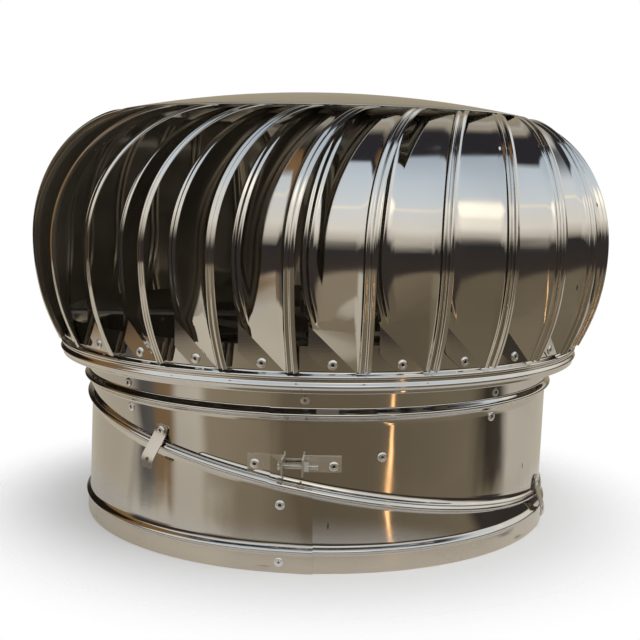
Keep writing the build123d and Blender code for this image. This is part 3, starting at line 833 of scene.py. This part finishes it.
for radius, along in head_profile:
    for j in range(head_sides):
        turn = 2 * pi * j / head_sides
        corner = (up * cos(turn) - bolt_out * sin(turn)) * radius
        bolt_points.append(bolt_line + bolt_way * (bolt_start + along) + corner)
for face in grid_faces(len(head_profile), head_sides, closed=True):
    bolt_faces.append(tuple(head_start + index for index in face))
head_last = head_start + (len(head_profile) - 1) * head_sides
bolt_faces.append(tuple(head_start + j for j in range(head_sides - 1, -1, -1)))
bolt_faces.append(tuple(head_last + j for j in range(head_sides)))
bolt = mesh_object("clamp_bolt_thread", bolt_points, bolt_faces, zinc_steel)
sharpen(bolt.data)
place(bolt, "upper_base", "zinc_steel", "clamp_bolt")

# Solids that are shown as they are, with softened edges

shown_finishes = {
    bracket_steel: ["clamp_bracket_left", "clamp_bracket_right"],
    pale_zinc: ["clamp_nut"],
    zinc_steel: ["shaft_nuts", "shaft_washer"],
    bar_steel: [
        "cross_bar_1", "cross_bar_2", "rotor_bar_1", "rotor_bar_2", "upper_housing", "lower_housing",
    ],
    ground_steel: ["shaft", "thrust_collar", "upper_bearing", "lower_bearing"],
    rivet_metal: ["cap_plug"],
}
edge_width = 0.35
edge_segments = 2
edge_angle = radians(40)
for finish, names in shown_finishes.items():
    for name in names:
        solid = nodes[name]
        solid.data.materials.clear()
        solid.data.materials.append(finish)
        bevel = solid.modifiers.new("Edges", "BEVEL")
        bevel.width = edge_width * MM
        bevel.segments = edge_segments
        bevel.limit_method = "ANGLE"
        bevel.angle_limit = edge_angle
        bevel.harden_normals = False

# Camera at the photograph's place

camera_place = Vector((0, -1.2367, 0.3598))
camera_pitch = radians(7.27)
camera_yaw = 0.0013
camera_roll = 0.02
focal_pixels = 1114.6
image_pixels = 640
ahead = Vector((sin(camera_yaw), cos(camera_yaw), 0))
level_right = Vector((cos(camera_yaw), -sin(camera_yaw), 0))
looking = ahead * cos(camera_pitch) - up * sin(camera_pitch)
above = ahead * sin(camera_pitch) + up * cos(camera_pitch)
right = level_right * cos(camera_roll) + above * sin(camera_roll)
over = above * cos(camera_roll) - level_right * sin(camera_roll)
camera_data = bpy.data.cameras.new("Camera")
camera_data.sensor_width = 36.0
camera_data.lens = focal_pixels * camera_data.sensor_width / image_pixels
camera = bpy.data.objects.new("Camera", camera_data)
turned = Matrix((right, over, -looking)).transposed().to_4x4()
camera.matrix_world = Matrix.Translation(camera_place) @ turned
bpy.context.scene.collection.objects.link(camera)
bpy.context.scene.camera = camera

# Stage: white surroundings, a pale floor that fades out, a soft lamp and a dome that only reflections see

scene = bpy.context.scene
scene.view_settings.view_transform = "Standard"
world = bpy.data.worlds.new("World")
world.use_nodes = True
scene.world = world
sky = world.node_tree
sky.nodes.clear()
rays = add_node(sky, "ShaderNodeLightPath")
direct = calculate(sky, "MAXIMUM", rays.outputs["Is Camera Ray"], rays.outputs["Is Glossy Ray"])
direct = calculate(sky, "MAXIMUM", direct, rays.outputs["Is Transmission Ray"])
seen = add_node(sky, "ShaderNodeBackground", {"Color": (1, 1, 1, 1), "Strength": 1.0})
soft = add_node(sky, "ShaderNodeBackground", {"Color": (0.95, 0.97, 1.0, 1), "Strength": 0.7})
both = add_node(sky, "ShaderNodeMixShader", {0: direct, 1: soft.outputs[0], 2: seen.outputs[0]})
add_node(sky, "ShaderNodeOutputWorld", {"Surface": both.outputs[0]})

floor_radius = 440.0
floor_columns = 96
floor_height = -0.3
floor_points = []
for i in range(floor_columns):
    floor_points.append(front_point(360.0 * i / floor_columns, floor_radius, floor_height))
floor_material, floor_tree, floor_shader = new_material("floor")
floor_shader.inputs["Base Color"].default_value = (0.86, 0.86, 0.85, 1)
floor_shader.inputs["Roughness"].default_value = 0.9
floor_place = add_node(floor_tree, "ShaderNodeNewGeometry").outputs["Position"]
floor_length = add_node(floor_tree, "ShaderNodeVectorMath", {0: floor_place}, operation="LENGTH")
floor_reach = floor_length.outputs["Value"]
floor_share = spread(floor_tree, floor_reach, 0.25, 0.43, 0.85, 0.0)
tree_out = floor_tree.nodes["Material Output"]
clear = add_node(floor_tree, "ShaderNodeBsdfTransparent")
floor_inputs = {0: floor_share, 1: clear.outputs[0], 2: floor_shader.outputs[0]}
floor_mix = add_node(floor_tree, "ShaderNodeMixShader", floor_inputs)
floor_tree.links.new(floor_mix.outputs[0], tree_out.inputs["Surface"])
floor = mesh_object("floor", floor_points, [tuple(range(floor_columns))], floor_material)

dome_radius = 4000.0
dome_reach = 88.0
dome_rows_count, dome_columns = 33, 64
dome_rows = []
for i in range(dome_rows_count):
    lift = radians(-dome_reach + 2 * dome_reach * i / (dome_rows_count - 1))
    reach = dome_radius * cos(lift)
    height = dome_radius * sin(lift)
    dome_rows.append([front_point(360.0 * j / dome_columns, reach, height) for j in range(dome_columns)])
dome_material, dome_tree = new_material("surroundings")[:2]
dome_tree.nodes.clear()
dome_place = add_node(dome_tree, "ShaderNodeNewGeometry").outputs["Position"]
unit = add_node(dome_tree, "ShaderNodeVectorMath", {0: dome_place}, operation="NORMALIZE").outputs[0]
ripple_inputs = {"Vector": unit, "Scale": 5.0, "Detail": 2.0}
ripple = add_node(dome_tree, "ShaderNodeTexNoise", ripple_inputs).outputs["Fac"]
ripple = calculate(dome_tree, "SUBTRACT", ripple, 0.5)
parts = add_node(dome_tree, "ShaderNodeSeparateXYZ", {0: unit}).outputs
toward_front = calculate(dome_tree, "MULTIPLY", parts["Y"], -1.0)
# Angle over the top from the front horizon, angle round from the front and elevation, all in degrees
over_top = calculate(dome_tree, "DEGREES", calculate(dome_tree, "ARCTAN2", parts["Z"], toward_front))
around = calculate(dome_tree, "DEGREES", calculate(dome_tree, "ARCTAN2", parts["X"], toward_front))
elevation = calculate(dome_tree, "DEGREES", calculate(dome_tree, "ARCSINE", parts["Z"]))
over_top = calculate(dome_tree, "MULTIPLY_ADD", ripple, 8.0, over_top)
around = calculate(dome_tree, "MULTIPLY_ADD", ripple, 14.0, around)
around_share = add_node(
    dome_tree, "ShaderNodeMapRange", {"Value": around, "From Min": -180.0, "From Max": 180.0}
).outputs[0]


def round_ramp(stops):
    """Colour by the angle round from the front, given in degrees."""
    return ramp(dome_tree, around_share, [((angle + 180) / 360, colour) for angle, colour in stops])


def glow_at(way, reach, rise):
    """Share of a soft spot on the dome, by its distance from a place given in degrees round and up."""
    aside = calculate(dome_tree, "DIVIDE", calculate(dome_tree, "SUBTRACT", around, way), reach)
    above_it = calculate(dome_tree, "DIVIDE", calculate(dome_tree, "SUBTRACT", elevation, rise[0]), rise[1])
    squared = calculate(dome_tree, "POWER", aside, 2.0)
    squared = calculate(dome_tree, "ADD", squared, calculate(dome_tree, "POWER", above_it, 2.0))
    return spread(dome_tree, squared, 0.0, 1.0, 1.0, 0.0)


# Sky: a dark uneven skyline, a warm haze above it, a thin bright line and blue
skyline_inputs = {"Vector": unit, "Scale": 2.6, "Detail": 4.0}
skyline = add_node(dome_tree, "ShaderNodeTexNoise", skyline_inputs).outputs["Fac"]
skyline = calculate(dome_tree, "MULTIPLY", calculate(dome_tree, "SUBTRACT", skyline, 0.5), 22.0)
skyline = calculate(dome_tree, "MULTIPLY", skyline, spread(dome_tree, elevation, 10.0, 26.0, 1.0, 0.0))
sky_share = calculate(dome_tree, "DIVIDE", calculate(dome_tree, "SUBTRACT", elevation, skyline), 90.0)
sky_stops = [
    (0.0, (0.050, 0.040, 0.036)),
    (7.0, (0.038, 0.036, 0.036)),
    (10.5, (0.30, 0.27, 0.23)),
    (14.0, (0.66, 0.61, 0.53)),
    (21.0, (1.00, 0.95, 0.86)),
    (34.6, (0.92, 0.94, 0.95)),
    (36.0, (1.25, 1.12, 0.92)),
    (37.4, (0.88, 0.94, 0.98)),
    (56.0, (0.74, 0.84, 0.94)),
    (80.0, (0.52, 0.60, 0.70)),
    (90.0, (0.48, 0.55, 0.64)),
]
sky_colour = ramp(dome_tree, sky_share, [(height / 90, colour) for height, colour in sky_stops])
sun_halo = glow_at(13.0, 20.0, (32.0, 15.0))
sky_colour = mix_colour(dome_tree, sun_halo, sky_colour, (1.30, 1.22, 1.06, 1))
sun_core = glow_at(13.0, 22.0, (36.0, 8.0))
sky_colour = mix_colour(dome_tree, sun_core, sky_colour, (1.75, 1.64, 1.42, 1))

# Overhead: a dark strip across the top with tan beyond it
overhead_share = spread(dome_tree, over_top, 80.0, 86.0)
overhead_share = calculate(dome_tree, "MULTIPLY", overhead_share, spread(dome_tree, elevation, 44.0, 56.0))
overhead_colour = mix_colour(
    dome_tree, spread(dome_tree, over_top, 109.0, 119.0), (0.034, 0.032, 0.038, 1), (0.46, 0.41, 0.33, 1)
)
far_overhead = spread(dome_tree, over_top, 120.0, 170.0)
overhead_colour = mix_colour(dome_tree, far_overhead, overhead_colour, (0.70, 0.65, 0.55, 1))
upper_colour = mix_colour(dome_tree, overhead_share, sky_colour, overhead_colour)

# Behind: a grey tan field, which the cap mirrors
behind_share = spread(dome_tree, calculate(dome_tree, "ABSOLUTE", around), 138.0, 156.0)
behind_low = spread(dome_tree, elevation, 44.0, 56.0, 1.0, 0.0)
behind_share = calculate(dome_tree, "MULTIPLY", behind_share, behind_low)
upper_colour = mix_colour(dome_tree, behind_share, upper_colour, (0.38, 0.33, 0.24, 1))

# Left: a brown wall and a dark opening beyond it
left_colour = round_ramp(
    [
        (-180.0, (0.50, 0.45, 0.36)),
        (-165.0, (0.30, 0.26, 0.20)),
        (-150.0, (0.014, 0.011, 0.009)),
        (-121.0, (0.016, 0.012, 0.009)),
        (-116.0, (0.26, 0.145, 0.06)),
        (-98.0, (0.29, 0.17, 0.08)),
        (180.0, (0.30, 0.18, 0.09)),
    ]
)
left_share = spread(dome_tree, around, -91.0, -97.0)
left_share = calculate(dome_tree, "MULTIPLY", left_share, spread(dome_tree, around, -176.0, -140.0))
left_share = calculate(dome_tree, "MULTIPLY", left_share, spread(dome_tree, elevation, 50.0, 70.0, 1.0, 0.0))
upper_colour = mix_colour(dome_tree, left_share, upper_colour, left_colour)

# Ground: tan and brown patches, with other patches just below the horizon
near_ground = round_ramp(
    [
        (-180.0, (0.50, 0.45, 0.36)),
        (-108.0, (0.70, 0.64, 0.53)),
        (-47.0, (0.62, 0.56, 0.46)),
        (-41.0, (0.50, 0.45, 0.36)),
        (-38.0, (0.27, 0.22, 0.15)),
        (-22.0, (0.24, 0.195, 0.13)),
        (-7.0, (0.155, 0.125, 0.085)),
        (30.0, (0.19, 0.155, 0.105)),
        (72.0, (0.25, 0.205, 0.14)),
        (92.0, (0.20, 0.165, 0.115)),
        (104.0, (0.56, 0.51, 0.42)),
        (180.0, (0.50, 0.45, 0.36)),
    ]
)
far_ground = round_ramp(
    [
        (-180.0, (0.50, 0.45, 0.36)),
        (-100.0, (0.56, 0.51, 0.42)),
        (-93.0, (0.10, 0.095, 0.09)),
        (-84.0, (0.13, 0.125, 0.12)),
        (-81.0, (0.25, 0.16, 0.085)),
        (-72.0, (0.26, 0.17, 0.09)),
        (-68.0, (0.62, 0.57, 0.49)),
        (-56.0, (0.64, 0.59, 0.50)),
        (-50.0, (0.34, 0.285, 0.205)),
        (-24.0, (0.29, 0.24, 0.165)),
        (-8.0, (0.17, 0.135, 0.09)),
        (40.0, (0.19, 0.155, 0.105)),
        (78.0, (0.23, 0.19, 0.13)),
        (88.0, (0.05, 0.042, 0.032)),
        (96.0, (0.06, 0.05, 0.04)),
        (104.0, (0.62, 0.58, 0.50)),
        (180.0, (0.50, 0.45, 0.36)),
    ]
)
far_share = spread(dome_tree, calculate(dome_tree, "MULTIPLY_ADD", ripple, 6.0, elevation), -15.5, -13.5)
ground_colour = mix_colour(dome_tree, far_share, near_ground, far_ground)
low_share = spread(dome_tree, elevation, -5.5, -3.5, 1.0, 0.0)
whole_colour = mix_colour(dome_tree, low_share, upper_colour, ground_colour)
sun_streak = glow_at(36.2, 1.1, (-18.0, 16.0))
whole_colour = mix_colour(dome_tree, sun_streak, whole_colour, (3.4, 1.9, 0.85, 1))
glow = add_node(dome_tree, "ShaderNodeEmission", {"Color": whole_colour, "Strength": 1.0})
add_node(dome_tree, "ShaderNodeOutputMaterial", {"Surface": glow.outputs[0]})
dome_points = [point for row in dome_rows for point in row]
dome = mesh_object(
    "surroundings", dome_points, grid_faces(dome_rows_count, dome_columns, closed=True), dome_material
)
dome_material.cycles.emission_sampling = "NONE"
for ray in ("camera", "diffuse", "transmission", "volume_scatter", "shadow"):
    setattr(dome, f"visible_{ray}", False)

lamp_data = bpy.data.lights.new("softbox", "AREA")
lamp_data.shape = "DISK"
lamp_data.size = 1.6
lamp_data.energy = 26.0
lamp = bpy.data.objects.new("softbox", lamp_data)
lamp.location = (1.0, -1.1, 2.4)
lamp.rotation_euler = (Vector((0, 0, 0.25)) - lamp.location).to_track_quat("-Z", "Y").to_euler()
lamp.visible_glossy = False
bpy.context.scene.collection.objects.link(lamp)

bpy.context.view_layer.update()
